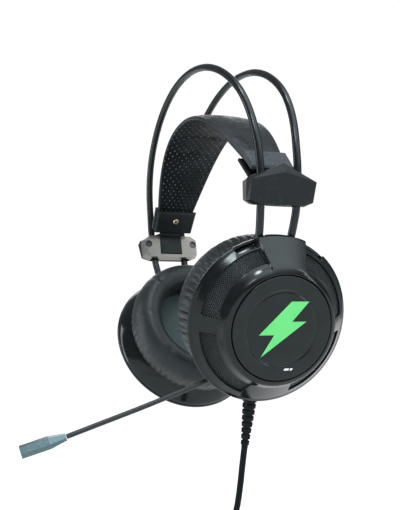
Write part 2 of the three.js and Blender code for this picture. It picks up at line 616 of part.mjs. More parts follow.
// The lead's unused length as a round coil that hangs from the cord, its axis along y, held by a tie.
function addCoil() {
  const { radius, half } = COIL;
  const corner = 0.55 * half;
  const section = [
    [half, -corner], [half, corner], [corner, half], [-corner, half],
    [-half, corner], [-half, -corner], [-corner, -half], [corner, -half],
  ];
  const ring = turned(section.map(([r, h]) => [radius + r, h]), 28).rotateX(Math.PI / 2);
  place(headset, "cord_coil", ring.translate(COIL.x, COIL.y, COIL.z), RUBBER);
  const inside = half + 0.6;
  const outside = inside + 1;
  const frame = box(-outside, outside, -outside, outside, -2.5, 2.5);
  const band = cut(frame, box(-inside, inside, -inside, inside, -3, 3));
  const tie = band.translate(radius, 0, 0).rotateY(-TIE_ANGLE);
  place(headset, "cable_tie", tie.translate(COIL.x, COIL.y, COIL.z), SATIN_BLACK);
}

function addPlug() {
  const [bodyX, bodyY, bodyZ] = PLUG.body;
  const [shellX, shellY, shellZ] = PLUG.shell;
  const plug = new THREE.Group();
  plug.position.set(PLUG.x, PLUG.y, PLUG.z);
  const body = hull([-1, 1].flatMap((x) => [-1, 1].flatMap((y) => [
    [x * (bodyX / 2 - 3.5), y * (bodyY / 2 - 1.2), 0],
    [x * bodyX / 2, y * bodyY / 2, -6],
    [x * bodyX / 2, y * bodyY / 2, -bodyZ],
  ])));
  const end = -bodyZ - shellZ;
  const shell = box(-shellX / 2, shellX / 2, -shellY / 2, shellY / 2, end, -bodyZ - GAP);
  const [wall, tongue] = [0.4, 2.3];
  const [mouthX, mouthY] = [shellX / 2 - wall, shellY / 2];
  const mouth = box(-mouthX, mouthX, wall - mouthY, mouthY - tongue, end - 1, -bodyZ - 6);
  place(plug, "usb_plug_body", body, SATIN_BLACK);
  place(plug, "usb_plug_shell", cut(shell, mouth), STEEL);
  headset.add(plug);
}

// ---- Assembly --------------------------------------------------------------------------------------------
addHoops();
for (const side of ["left", "right"]) {
  const groups = sideGroups(side);
  addCup(side, groups);
  addSlider(side, groups);
  if (side === "left") addMicrophone(groups);
}
addStrap();
addStrainRelief();
addCord();
addCoil();
addPlug();

export default headset;
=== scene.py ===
"""Looks of an over-ear gaming headset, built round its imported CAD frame.

Metres, +Z up, +X to the wearer's left. An ear cup's own shapes are given in millimetres in the cup's frame:
x rearward, y upward, z outward along its axis.
"""
import math
import random

import bmesh
import bpy
from mathutils import Matrix, Vector, noise


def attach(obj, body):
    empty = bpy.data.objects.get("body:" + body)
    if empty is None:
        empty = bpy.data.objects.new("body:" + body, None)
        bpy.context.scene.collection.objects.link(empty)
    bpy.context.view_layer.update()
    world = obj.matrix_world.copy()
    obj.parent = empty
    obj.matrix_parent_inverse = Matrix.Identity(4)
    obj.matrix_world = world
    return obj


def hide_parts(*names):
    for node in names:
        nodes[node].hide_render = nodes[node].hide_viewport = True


MM = 0.001
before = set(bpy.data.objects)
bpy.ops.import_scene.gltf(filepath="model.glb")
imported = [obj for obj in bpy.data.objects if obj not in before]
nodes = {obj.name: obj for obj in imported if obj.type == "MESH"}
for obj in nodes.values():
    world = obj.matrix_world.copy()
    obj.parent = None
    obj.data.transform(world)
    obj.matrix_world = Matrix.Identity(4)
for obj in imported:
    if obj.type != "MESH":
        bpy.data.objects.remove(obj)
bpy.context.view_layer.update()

# ---- Frames ---------------------------------------------------------------------------------------------
TILT = math.radians(21.9)  # of a cup's axis below level
YAW = math.radians(2)  # of a cup's axis forward
CUP_OUT = 65 * MM
OUTWARD = Vector((math.cos(TILT) * math.cos(YAW), -math.cos(TILT) * math.sin(YAW), -math.sin(TILT)))
REARWARD = Vector((math.sin(YAW), math.cos(YAW), 0))
UPWARD = OUTWARD.cross(REARWARD)
CUP = Matrix.Translation((CUP_OUT, 0, 0)) @ Matrix((REARWARD, UPWARD, OUTWARD)).transposed().to_4x4()
SIDES = {"left": Matrix.Identity(4), "right": Matrix.Diagonal((-1, 1, 1, 1))}


def on_cup(x, y, z):
    return CUP @ Vector((x * MM, y * MM, z * MM))


def around(place, radius, turn, height):
    """A point about the z axis of place: radius and height in millimetres, turn in radians."""
    return place @ Vector((radius * MM * math.cos(turn), radius * MM * math.sin(turn), height * MM))


# ---- Camera ---------------------------------------------------------------------------------------------
CAMERA_PLACE = (0.55707, -0.25340, -0.05946)
CAMERA_TURN, CAMERA_LIFT, CAMERA_ROLL = 66.657, -10.26, -2.918
CAMERA_LENS = 66.68
FILM_WIDTH = 36


def add_camera():
    turn, lift, roll = (math.radians(a) for a in (CAMERA_TURN, CAMERA_LIFT, CAMERA_ROLL))
    right = Vector((math.cos(turn), math.sin(turn), 0))
    back = Vector((math.sin(turn) * math.cos(lift), -math.cos(turn) * math.cos(lift), math.sin(lift)))
    up = back.cross(right)
    rolled_right = right * math.cos(roll) + up * math.sin(roll)
    rolled_up = up * math.cos(roll) - right * math.sin(roll)
    data = bpy.data.cameras.new("camera")
    data.lens = CAMERA_LENS
    data.sensor_width = FILM_WIDTH
    data.clip_start = 0.01
    data.clip_end = 60
    camera = bpy.data.objects.new("camera", data)
    camera.matrix_world = Matrix.Translation(CAMERA_PLACE) @ Matrix(
        (rolled_right, rolled_up, back)
    ).transposed().to_4x4()
    bpy.context.scene.collection.objects.link(camera)
    bpy.context.scene.camera = camera


add_camera()


# ---- Mesh helpers ---------------------------------------------------------------------------------------
def link(name, data, body, material, replaces=()):
    piece = bpy.data.objects.new(name, data)
    bpy.context.scene.collection.objects.link(piece)
    data.materials.append(material)
    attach(piece, body)
    if replaces:
        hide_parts(*replaces)
    return piece


def sharpen(mesh, degrees):
    mesh.shade_smooth()
    mesh.set_sharp_from_angle(angle=math.radians(degrees))


def mesh_from(name, points, faces, uvs=None, degrees=32):
    """A smooth-shaded mesh. uvs holds one (u, v) list for each face's corners."""
    mesh = bpy.data.meshes.new(name)
    mesh.from_pydata(points, [], faces)
    if uvs:
        layer = mesh.uv_layers.new(name="metres")
        flat = [value for face in uvs for corner in face for value in corner]
        layer.data.foreach_set("uv", flat)
    sharpen(mesh, degrees)
    return mesh


def grid(name, rows, wrap_v=False, flip=False, degrees=32, cap=False):
    """A mesh over closed rows of points. wrap_v joins the last row to the first, cap fills both."""
    count_v, count_u = len(rows), len(rows[0])
    points = [p for row in rows for p in row]
    down = [0.0]
    middle = count_u // 3
    for a, b in zip(rows, rows[1:]):
        down.append(down[-1] + (b[middle] - a[middle]).length)
    widest = max(range(count_v), key=lambda i: (rows[i][0] - rows[i][count_u // 2]).length)
    across = [0.0]
    for j in range(count_u):
        across.append(across[-1] + (rows[widest][(j + 1) % count_u] - rows[widest][j]).length)
    down.append(down[-1] + (rows[0][middle] - rows[-1][middle]).length)
    faces, uvs = [], []
    for i in range(count_v if wrap_v else count_v - 1):
        for j in range(count_u):
            ii, jj = (i + 1) % count_v, (j + 1) % count_u
            face = [i * count_u + j, i * count_u + jj, ii * count_u + jj, ii * count_u + j]
            uv = [
                (across[j], down[i]), (across[j + 1], down[i]),
                (across[j + 1], down[i + 1]), (across[j], down[i + 1]),
            ]
            faces.append(face[::-1] if flip else face)
            uvs.append(uv[::-1] if flip else uv)
    if cap:
        first = list(range(count_u))
        last = [(count_v - 1) * count_u + j for j in range(count_u)]
        for ring, turned in ((first, True), (last, False)):
            ring = ring[::-1] if turned != flip else ring
            faces.append(ring)
            uvs.append([(0.0, 0.0)] * len(ring))
    return mesh_from(name, points, faces, uvs, degrees)


def spline(p0, p1, p2, p3, t):
    """A Catmull-Rom point between p1 and p2."""
    return 0.5 * (
        2 * p1 + (p2 - p0) * t + (2 * p0 - 5 * p1 + 4 * p2 - p3) * t * t
        + (3 * p1 - p0 - 3 * p2 + p3) * t * t * t
    )


def smooth_loop(points, steps):
    """A closed Catmull-Rom curve through 2-D points."""
    found = []
    count = len(points)
    for i in range(count):
        p0, p1, p2, p3 = (Vector(points[(i + k - 1) % count]) for k in range(4))
        found += [spline(p0, p1, p2, p3, k / steps) for k in range(steps)]
    return found


def smooth_line(points, steps):
    """An open Catmull-Rom curve through points of any dimension."""
    points = [Vector(p) for p in points]
    padded = [2 * points[0] - points[1], *points, 2 * points[-1] - points[-2]]
    found = []
    for i in range(len(points) - 1):
        p0, p1, p2, p3 = padded[i:i + 4]
        found += [spline(p0, p1, p2, p3, k / steps) for k in range(steps)]
    found.append(points[-1])
    return found


def tube_rows(path, radius, sides):
    """Rings of points about a path of 3-D points, without twist."""
    rows = []
    tangent = (path[1] - path[0]).normalized()
    side = tangent.orthogonal().normalized()
    for i, point in enumerate(path):
        ahead = path[min(i + 1, len(path) - 1)] - path[max(i - 1, 0)]
        new = ahead.normalized()
        side = tangent.rotation_difference(new) @ side
        side = (side - new * side.dot(new)).normalized()
        tangent = new
        other = tangent.cross(side)
        turns = [2 * math.pi * j / sides for j in range(sides)]
        rows.append([point + (side * math.cos(t) + other * math.sin(t)) * radius for t in turns])
    return rows


def lathe(name, profile, place, mirrored, degrees, columns=128):
    """Turns a closed profile of (radius, height) millimetres about the cup's axis."""
    area = sum(a[0] * b[1] - b[0] * a[1] for a, b in zip(profile, profile[1:] + profile[:1]))
    rows = [[around(place, r, 2 * math.pi * j / columns, z) for j in range(columns)] for r, z in profile]
    return grid(name, rows, wrap_v=True, flip=(area < 0) != mirrored, degrees=degrees)


def bevel(piece, width, segments=2, degrees=30):
    modifier = piece.modifiers.new("bevel", "BEVEL")
    modifier.width = width * MM
    modifier.segments = segments
    modifier.limit_method = "ANGLE"
    modifier.angle_limit = math.radians(degrees)
    modifier.use_clamp_overlap = False
    modifier.harden_normals = True


# ---- Materials ------------------------------------------------------------------------------------------
class Shader:
    """A Principled material with short ways to add procedural nodes."""

    def __init__(self, name, color, roughness, metallic=0.0, **sockets):
        self.material = bpy.data.materials.new(name)
        self.material.use_nodes = True
        self.tree = self.material.node_tree
        self.bsdf = next(n for n in self.tree.nodes if n.type == "BSDF_PRINCIPLED")
        self.bsdf.inputs["Base Color"].default_value = (*color, 1)
        self.bsdf.inputs["Roughness"].default_value = roughness
        self.bsdf.inputs["Metallic"].default_value = metallic
        if metallic < 0.5:
            self.bsdf.inputs["IOR"].default_value = 1.37
            self.bsdf.inputs["Specular Tint"].default_value = (0.84, 0.97, 1.0, 1)
        for key, value in sockets.items():
            self.bsdf.inputs[key.replace("_", " ")].default_value = value
        self.color = color
        self.roughness = roughness
        self.height = None

    def node(self, kind, **inputs):
        made = self.tree.nodes.new(kind)
        for key, value in inputs.items():
            self.put(made.inputs[key.replace("_", " ")], value)
        return made

    def put(self, socket, value):
        if isinstance(value, bpy.types.NodeSocket):
            self.tree.links.new(value, socket)
        else:
            socket.default_value = value

    def math(self, operation, a, b=0.0, clamp=False):
        made = self.tree.nodes.new("ShaderNodeMath")
        made.operation = operation
        made.use_clamp = clamp
        self.put(made.inputs[0], a)
        self.put(made.inputs[1], b)
        return made.outputs[0]

    def remap(self, value, low, high, to_low=0.0, to_high=1.0):
        made = self.tree.nodes.new("ShaderNodeMapRange")
        for index, number in enumerate((value, low, high, to_low, to_high)):
            self.put(made.inputs[index], number)
        return made.outputs[0]

    def where(self, uv=False, stretch=(1, 1, 1), turn=(0, 0, 0)):
        coordinates = self.tree.nodes.new("ShaderNodeTexCoord")
        mapping = self.tree.nodes.new("ShaderNodeMapping")
        mapping.inputs["Scale"].default_value = stretch
        mapping.inputs["Rotation"].default_value = turn
        self.tree.links.new(coordinates.outputs["UV" if uv else "Object"], mapping.inputs["Vector"])
        return mapping.outputs["Vector"]

    def noise(self, scale, detail=2.0, vector=None, roughness=0.5):
        made = self.node("ShaderNodeTexNoise", Scale=scale, Detail=detail, Roughness=roughness)
        self.tree.links.new(vector or self.where(), made.inputs["Vector"])
        return made.outputs["Fac"]

    def voronoi(self, scale, vector=None, randomness=1.0, feature="F1"):
        made = self.node("ShaderNodeTexVoronoi", Scale=scale)
        made.feature = feature
        if "Randomness" in made.inputs:
            made.inputs["Randomness"].default_value = randomness
        self.tree.links.new(vector or self.where(), made.inputs["Vector"])
        return made.outputs["Distance"]

    def raise_by(self, value, strength, distance):
        """Adds a layer of bump. distance is in millimetres."""
        made = self.node("ShaderNodeBump", Strength=strength, Distance=distance * MM, Height=value)
        if self.height:
            self.tree.links.new(self.height, made.inputs["Normal"])
        self.height = made.outputs["Normal"]
        self.tree.links.new(self.height, self.bsdf.inputs["Normal"])

    def rough_by(self, value, low, high):
        self.tree.links.new(self.remap(value, 0.3, 0.7, low, high), self.bsdf.inputs["Roughness"])

    def tint(self, value, color, low=0.0, high=1.0):
        """Mixes another colour in where value is high."""
        mix = self.tree.nodes.new("ShaderNodeMix")
        mix.data_type = "RGBA"
        source = self.bsdf.inputs["Base Color"]
        if source.links:
            self.tree.links.new(source.links[0].from_socket, mix.inputs["A"])
        else:
            mix.inputs["A"].default_value = source.default_value
        mix.inputs["B"].default_value = (*color, 1)
        self.tree.links.new(self.remap(value, low, high), mix.inputs["Factor"])
        self.tree.links.new(mix.outputs["Result"], source)


def gloss_black():
    s = Shader("gloss_black", (0.0035, 0.0045, 0.005), 0.1)
    s.rough_by(s.noise(60, 4), 0.11, 0.19)
    s.tint(s.noise(90, 6, roughness=0.65), (0.008, 0.01, 0.011), 0.45, 0.8)
    s.raise_by(s.noise(160, 2), 0.04, 0.04)
    return s.material


def satin_black(name="satin_black", color=(0.008, 0.0095, 0.0105), roughness=0.36):
    s = Shader(name, color, roughness, Specular_IOR_Level=0.32)
    s.rough_by(s.noise(120, 5), roughness - 0.06, roughness + 0.08)
    s.tint(s.noise(300, 5), tuple(c * 1.8 for c in color), 0.5, 0.85)
    s.raise_by(s.noise(2600, 3), 0.25, 0.04)
    return s.material


def grain_plastic():
    s = Shader("grain_plastic", (0.035, 0.043, 0.05), 0.34)
    s.tint(s.noise(500, 5), (0.07, 0.082, 0.09), 0.45, 0.8)
    s.rough_by(s.noise(700, 4), 0.24, 0.44)
    s.raise_by(s.voronoi(1100), 0.6, 0.12)
    return s.material


def hoop_black():
    s = Shader("hoop_black", (0.006, 0.0075, 0.0085), 0.2)
    s.rough_by(s.noise(150, 4), 0.16, 0.26)
    s.tint(s.noise(400, 5), (0.012, 0.014, 0.016), 0.5, 0.9)
    s.raise_by(s.noise(250, 2), 0.03, 0.02)
    return s.material


def mesh_grille():
    """Pressed mesh: staggered round holes in a dark metal sheet, the holes painted near black as shade."""
    s = Shader("mesh_grille", (0.03, 0.037, 0.04), 0.3, 0.4)
    pitch = 1.75 * MM
    nearest = None
    for shift in (0, pitch / 2):
        uv = s.where(uv=True, stretch=(1 / pitch, 1 / pitch, 1))
        uv.node.inputs["Location"].default_value = (shift / pitch, shift / pitch, 0)
        distance = s.voronoi(1.0, uv, 0.0)
        nearest = s.math("MINIMUM", nearest, distance) if nearest else distance
    s.tint(s.noise(90, 4), (0.016, 0.02, 0.022), 0.35, 0.8)
    # The holes' near black is painted shade: the dark inside of the cup, seen through them.
    s.tint(s.remap(nearest, 0.24, 0.32, 1.0, 0.0), (0.001, 0.001, 0.001))
    s.raise_by(s.remap(nearest, 0.2, 0.45), 1.0, 0.4)
    return s.material


DOT_PITCH = 5.4 * MM


def leatherette(name, color, light, roughness, dots=False):
    """Grained and creased leatherette. dots adds perforations in staggered rows, with painted glints in light
    grey on a patchy share of them.
    """
    s = Shader(name, color, roughness, Specular_IOR_Level=0.2 if dots else 0.45)
    grain = s.voronoi(1500, feature="DISTANCE_TO_EDGE")
    s.tint(s.noise(70, 5), light, 0.4, 0.8)
    s.rough_by(s.noise(400, 4), roughness - 0.08, roughness + 0.1)
    s.raise_by(s.noise(120, 4), 0.25, 0.5)
    s.raise_by(s.remap(grain, 0.0, 0.12), 0.3, 0.08)
    if dots:
        per_metre = 1 / DOT_PITCH
        first = s.voronoi(per_metre, s.where(uv=True), 0.0)
        shifted = s.where(uv=True)
        shifted.node.inputs["Location"].default_value = (DOT_PITCH / 2, DOT_PITCH / 2, 0)
        second = s.voronoi(per_metre, shifted, 0.0)
        nearest = s.math("MINIMUM", first, second)
        s.raise_by(s.remap(nearest, 0.05, 0.11), 0.8, 0.4)
        # The light grey on the dots is painted glints, shown only on a patchy share of them.
        glint_patches = s.remap(s.noise(220, 2), 0.4, 0.6, 0.35, 1.0)
        glint_patches = s.math("MULTIPLY", glint_patches, s.remap(s.noise(26, 1), 0.4, 0.62, 0.12, 1.0))
        dot = s.math("MULTIPLY", s.remap(nearest, 0.06, 0.085, 1.0, 0.0), glint_patches)
        s.tint(dot, (0.3, 0.32, 0.33))
    return s.material


def speaker_cloth():
    s = Shader("speaker_cloth", (0.03, 0.048, 0.05), 0.95, Sheen_Weight=0.2)
    warp = s.node("ShaderNodeTexWave", Scale=420, Distortion=0.4)
    warp.bands_direction = "Y"
    weft = s.node("ShaderNodeTexWave", Scale=420, Distortion=0.4)
    weft.bands_direction = "Z"
    for wave in (warp, weft):
        s.tree.links.new(s.where(), wave.inputs["Vector"])
    woven = s.math("MAXIMUM", warp.outputs["Fac"], weft.outputs["Fac"])
    s.tint(woven, (0.055, 0.08, 0.083), 0.5, 1.0)
    s.raise_by(woven, 0.5, 0.15)
    return s.material


def rubber(name="rubber", color=(0.008, 0.0095, 0.0105), roughness=0.5):
    s = Shader(name, color, roughness, Specular_IOR_Level=0.12)
    s.tint(s.noise(350, 5), tuple(c * 1.9 for c in color), 0.45, 0.85)
    s.rough_by(s.noise(260, 3), roughness - 0.08, roughness + 0.1)
    s.raise_by(s.noise(2200, 3), 0.2, 0.04)
    return s.material


def wound_boom():
    s = Shader("wound_boom", (0.02, 0.022, 0.023), 0.4, 0.2)
    wave = s.node("ShaderNodeTexWave", Scale=160, Distortion=0.0)
    wave.bands_direction = "Y"
    s.tree.links.new(s.where(uv=True), wave.inputs["Vector"])
    s.raise_by(wave.outputs["Fac"], 0.15, 0.08)
    s.tint(wave.outputs["Fac"], (0.026, 0.03, 0.032), 0.4, 1.0)
    s.rough_by(s.noise(900, 3), 0.36, 0.5)
    return s.material


def metal(name, color, roughness, stretch=(1, 1, 1), metallic=1.0):
    s = Shader(name, color, roughness, metallic)
    brushed = s.noise(2400, 3, s.where(stretch=stretch))
    s.rough_by(brushed, max(0.05, roughness - 0.05), roughness + 0.06)
    s.tint(brushed, tuple(min(1, c * 1.15) for c in color), 0.45, 0.75)
    s.raise_by(brushed, 0.08, 0.01)
    return s.material


def glow_lens():
    s = Shader("glow_lens", (0.01, 0.05, 0.015), 0.3)
    shade = s.tree.nodes.new("ShaderNodeAttribute")
    shade.attribute_name = "centre"
    ramp = s.tree.nodes.new("ShaderNodeValToRGB")
    ramp.color_ramp.elements[0].color = (0.012, 0.62, 0.09, 1)
    ramp.color_ramp.elements[1].color = (0.17, 0.83, 0.25, 1)
    cloudy = s.math("MULTIPLY", s.remap(s.noise(130, 3), 0.3, 0.7, 0.8, 1.1), shade.outputs["Fac"])
    s.tree.links.new(cloudy, ramp.inputs["Fac"])
    s.tree.links.new(ramp.outputs["Color"], s.bsdf.inputs["Emission Color"])
    s.bsdf.inputs["Emission Strength"].default_value = 0.9
    return s.material


def circuit_board():
    s = Shader("circuit_board", (0.02, 0.09, 0.045), 0.4)
    s.tint(s.voronoi(260, feature="DISTANCE_TO_EDGE"), (0.05, 0.16, 0.08), 0.0, 0.08)
    s.raise_by(s.noise(700, 2), 0.2, 0.1)
    return s.material


M = {
    "gloss": gloss_black(),
    "satin": satin_black(),
    "grain": grain_plastic(),
    "hoop": hoop_black(),
    "grille": mesh_grille(),
    "pad": leatherette("pad_leatherette", (0.012, 0.0145, 0.016), (0.022, 0.026, 0.028), 0.38),
    "strap": leatherette("strap_leatherette", (0.008, 0.01, 0.013), (0.018, 0.022, 0.027), 0.36),
    "lining": leatherette("strap_lining", (0.002, 0.003, 0.004), (0.007, 0.009, 0.011), 0.46, dots=True),
    "cloth": speaker_cloth(),
    "rubber": rubber(),
    "cord": rubber("cord_rubber", (0.005, 0.0065, 0.0075), 0.4),
    "boom": wound_boom(),
    "steel": metal("steel", (0.62, 0.63, 0.65), 0.22),
    "screw": metal("screw", (0.05, 0.052, 0.055), 0.3),
    "plate": metal("plate_paint", (0.19, 0.19, 0.175), 0.34, (1, 0.12, 1), 0.75),
    "brass": metal("brass", (0.72, 0.66, 0.5), 0.25),
    "steel_blue": metal("steel_blue", (0.085, 0.135, 0.15), 0.26, (0.5, 0.08, 0.3), 0.9),
    "lens": glow_lens(),
    "board": circuit_board(),
    "silver": metal("silver", (0.75, 0.76, 0.78), 0.2),
    "piping": satin_black("piping", (0.02, 0.022, 0.025), 0.3),
}


# ---- Cord -----------------------------------------------------------------------------------------------
CORD_D = 4 * MM
RELIEF_AXIS = Vector((-0.29, -0.045, -0.956)).normalized()
RELIEF_TURN = math.radians(-94.5)
RELIEF_R = 43.5
RELIEF_ROOT = on_cup(RELIEF_R * math.cos(RELIEF_TURN), RELIEF_R * math.sin(RELIEF_TURN), -6)
RELIEF_MM = 36.5
RELIEF_END = RELIEF_ROOT + RELIEF_AXIS * (RELIEF_MM * MM)
COIL = Vector((24.6, -7, -153.6)) * MM
COIL_R = 22 * MM
COIL_PITCH = 4.12 * MM
# Degrees round the coil: where the cord enters, where each turn starts to move to the next cell, how far
# that move takes, and where the cord leaves after the last whole turn.
COIL_ENTRY, COIL_MOVE_AT, COIL_MOVE, COIL_EXIT = 140, 200, 80, 190
# The cells of the coil's bundle that the turns lie in, one after another, as (layer outward, row rearward).
CELLS = [
    (3, 0), (2, 0), (1, 0), (0, 0), (0, 1), (1, 1), (2, 1),
    (3, 1), (3, 2), (2, 2), (1, 2), (1, 3), (2, 3), (3, 3),
]


def coil_points():
    """The coil's centreline. It moves from cell to cell over a part of each turn."""
    last = COIL_EXIT + 360 * (len(CELLS) - 1)
    points = []
    for degrees in range(COIL_ENTRY, last + 1, 15):
        turns = (degrees - COIL_MOVE_AT) / 360
        whole = math.floor(turns)
        share = min(1.0, (turns - whole) / (COIL_MOVE / 360))
        share = share * share * (3 - 2 * share)
        index = whole + share
        low = max(0, min(len(CELLS) - 1, math.floor(index)))
        high = min(len(CELLS) - 1, low + 1)
        part = index - low if index > 0 else 0.0
        layer = CELLS[low][0] + (CELLS[high][0] - CELLS[low][0]) * part
        row = CELLS[low][1] + (CELLS[high][1] - CELLS[low][1]) * part
        radius = COIL_R + (layer - 1.5) * COIL_PITCH
        turn = math.radians(degrees)
        at = Vector((radius * math.cos(turn), (row - 1.5) * COIL_PITCH, radius * math.sin(turn)))
        points.append(COIL + at)
    return points


def add_cord():
    """The lead: hanging from its strain relief, wound into the coil, and down to the plug."""
    start = RELIEF_END - RELIEF_AXIS * 2.5 * MM
    hanging = [
        start, RELIEF_END + RELIEF_AXIS * 2.8 * MM,
        Vector((28.9, -4.9, -85)) * MM, Vector((25, -5.5, -98)) * MM, Vector((20.4, -6.6, -111)) * MM,
        Vector((14.6, -9.4, -122.5)) * MM, Vector((8.4, -12.2, -130)) * MM,
    ]
    tail = [
        Vector((-3.2, -0.9, -162)) * MM, Vector((-1.6, -3.4, -170)) * MM,
        Vector((-0.9, -6.4, -176.5)) * MM, Vector((-0.9, -7, -182)) * MM,
    ]
    path = smooth_line([*hanging, *coil_points(), *tail], 3)
    length = sum((b - a).length for a, b in zip(path, path[1:]))
    mesh = grid("cord", tube_rows(path, CORD_D / 2, 10), cap=True, degrees=60)
    cord = link("lead", mesh, "left_cup", M["cord"], ("cord", "cord_tail", "cord_coil"))
    return cord, path, length


lead, lead_path, lead_length = add_cord()


# ---- Ear cups -------------------------------------------------------------------------------------------
KNUCKLE_TURN = math.radians(-126.5)
KNUCKLE_R = 45.5
KNUCKLE = (KNUCKLE_R * math.cos(KNUCKLE_TURN), KNUCKLE_R * math.sin(KNUCKLE_TURN))
KNUCKLE_Z = -6
HOOP_SLOTS = (-10.2, 10.2)  # the middles of the slots for the two wires
# The cover's features, in degrees round it: the raised spoke, the windows, and the notches beside the spoke.
SPOKE = (67.6, 105.4)
SPOKE_RISE = 1.3
WINDOWS = [(106, 174), (187, 250), (290, 353), (6, 67)]
NOTCHES = [(51.5, SPOKE[0]), (SPOKE[1], 121.5)]
NOTCH_RISE = 1.0
# Rows of the front cover from its rim to the shelf: outer face, inner face, and the spoke's outer face.
COVER_ROWS = [
    ((49.6, -0.8), (48.0, -0.8), (50.6, -0.8)),
    ((50.0, -0.2), (47.8, -0.5), (51.0, -0.3)),
    ((50.0, 0.7), (47.6, -0.2), (51.0, 1.7)),
    ((49.6, 1.2), (47.2, 0.2), (50.8, 2.4)),
    ((48.5, 1.75), (46.8, 0.6), (50.1, 3.2)),
    ((47.9, 2.4), (46.3, 1.1), (49.4, 3.95)),
    ((44.9, 5.5), (44.2, 4.85), (46.2, 7.1)),
    ((41.2, 9.4), (40.5, 8.75), (42.5, 10.8)),
    ((37.6, 13.2), (36.9, 12.55), (38.9, 14.5)),
    ((37.0, 13.9), (35.3, 12.9), (38.3, 15.2)),
    ((35.7, 16.5), (34.2, 15.6), (36.9, 16.9)),
    ((34.5, 18.9), (33.0, 17.2), (35.2, 18.6)),
    ((33.9, 19.5), (32.6, 17.6), (34.2, 19.3)),
    ((31.8, 20.3), (32.2, 17.9), (31.8, 20.3)),
    ((31.3, 20.1), (32.0, 17.9), (31.3, 20.1)),
    ((31.2, 17.3), (31.9, 17.3), (31.2, 17.3)),
]
WINDOW_ROWS = (6, 8)  # the first row of faces that a window leaves out, and the first below it
# The notches' outer face on the first rows, and how far out their inner face may reach there.
NOTCH_ROWS = [(46.7, -0.8), (46.9, -0.2), (47.0, 0.7), (46.9, 1.6), (46.7, 2.6), (46.4, 3.5)]
NOTCH_BACK = 45.6


def within(degrees, ranges):
    return any(low - 1e-6 <= degrees <= high + 1e-6 for low, high in ranges)


def cover_columns():
    """The turns of the cover's columns: its features' edges, and every 3 degrees where no edge is near."""
    edges = {mark for pair in (SPOKE, *WINDOWS, *NOTCHES) for mark in pair}
    edges |= {SPOKE[0] + SPOKE_RISE, SPOKE[1] - SPOKE_RISE}
    edges |= {NOTCHES[0][0] - NOTCH_RISE, NOTCHES[1][1] + NOTCH_RISE}
    even = {mark for mark in range(0, 360, 3) if min(abs(mark - edge) for edge in edges) > 0.9}
    return sorted(edges | even)


def cover_points(place, columns):
    """The rows of the cover's outer face, then the rows of its inner face."""
    outer, inner = [], []
    for k, (face, back, raised) in enumerate(COVER_ROWS):
        for degrees in columns:
            front = face
            rear = back
            if within(degrees, [(SPOKE[0] + SPOKE_RISE, SPOKE[1] - SPOKE_RISE)]):
                front = raised
            elif within(degrees, NOTCHES) and k < len(NOTCH_ROWS):
                front = NOTCH_ROWS[k]
                rear = (min(back[0], NOTCH_BACK - 0.1 * k), back[1])
            turn = math.radians(degrees)
            outer.append(around(place, front[0], turn, front[1]))
            inner.append(around(place, rear[0], turn, rear[1]))
    return outer + inner


def cover_faces(columns):
    """Both faces of the cover, joined along its rims and round its windows."""
    count, across = len(COVER_ROWS), len(columns)
    keep = [[True] * across for _ in range(count - 1)]
    for j in range(across):
        after = columns[j + 1] if j + 1 < across else columns[0] + 360
        if within((columns[j] + after) / 2, WINDOWS):
            for i in range(*WINDOW_ROWS):
                keep[i][j] = False
    faces = []

    def at(i, j, layer):
        return layer * count * across + i * across + j % across

    for i in range(count - 1):
        for j in range(across):
            if not keep[i][j]:
                continue
            faces.append([at(i, j, 0), at(i, j + 1, 0), at(i + 1, j + 1, 0), at(i + 1, j, 0)])
            faces.append([at(i, j, 1), at(i + 1, j, 1), at(i + 1, j + 1, 1), at(i, j + 1, 1)])
            if i == 0 or not keep[i - 1][j]:
                faces.append([at(i, j, 1), at(i, j + 1, 1), at(i, j + 1, 0), at(i, j, 0)])
            if i == count - 2 or not keep[i + 1][j]:
                faces.append([at(i + 1, j, 0), at(i + 1, j + 1, 0), at(i + 1, j + 1, 1), at(i + 1, j, 1)])
            if not keep[i][j - 1]:
                faces.append([at(i, j, 0), at(i + 1, j, 0), at(i + 1, j, 1), at(i, j, 1)])
            if not keep[i][(j + 1) % across]:
                faces.append([at(i, j + 1, 1), at(i + 1, j + 1, 1), at(i + 1, j + 1, 0), at(i, j + 1, 0)])
    return faces


def front_cover(side):
    """The front shell with its windows, notches and raised spoke, and slots for the two wires."""
    place = SIDES[side] @ CUP
    columns = cover_columns()
    faces = cover_faces(columns)
    if side == "right":
        faces = [face[::-1] for face in faces]
    name = side + "_front_cover_shell"
    mesh = mesh_from(name, cover_points(place, columns), faces, degrees=38)
    piece = link(name, mesh, side + "_cup", M["gloss"], (side + "_front_cover",))
    slots = []
    for middle in HOOP_SLOTS:
        slots.append(box_mesh(middle - 3.4, middle + 3.4, 47.3, 56, -7, 2.0))
        slots.append(box_mesh(middle - 3.4, middle + 3.4, 40, 48, -7, 1.4))
    carve(piece, slots, place)
    bevel(piece, 0.22, 2, 38)
    return piece


HOUSING_PROFILE = [
    (28, -12), (41.2, -12), (42.2, -11.5), (45.2, -8.4), (47.9, -4.6), (48.6, -3.4), (49.1, -2.4),
    (49.3, -1.1), (47.6, -1.1), (45.6, -4.6), (43.6, -7.5), (40.9, -10), (28, -10),
]


def housing(side):
    """The cup's back shell. The left one has the knuckle's seat and a slot that the boom swings in."""
    place = SIDES[side] @ CUP
    name = side + "_housing_shell"
    mesh = lathe(name, HOUSING_PROFILE, place, side == "right", 38, 144)
    piece = link(name, mesh, side + "_cup", M["gloss"], (side + "_housing",))
    cutters = [box_mesh(middle - 3.2, middle + 3.2, 40, 56, -6.8, 1.5) for middle in HOOP_SLOTS]
    if side == "left":
        cutters.append(wedge_mesh(KNUCKLE, 13, 133, 229, -9.7, -2.6))
        cutters.append(round_mesh(KNUCKLE, 5.1, -9.69, 2))
        cutters.append(round_mesh(KNUCKLE, 1.9, -13, 0))
    carve(piece, cutters, place)
    return piece


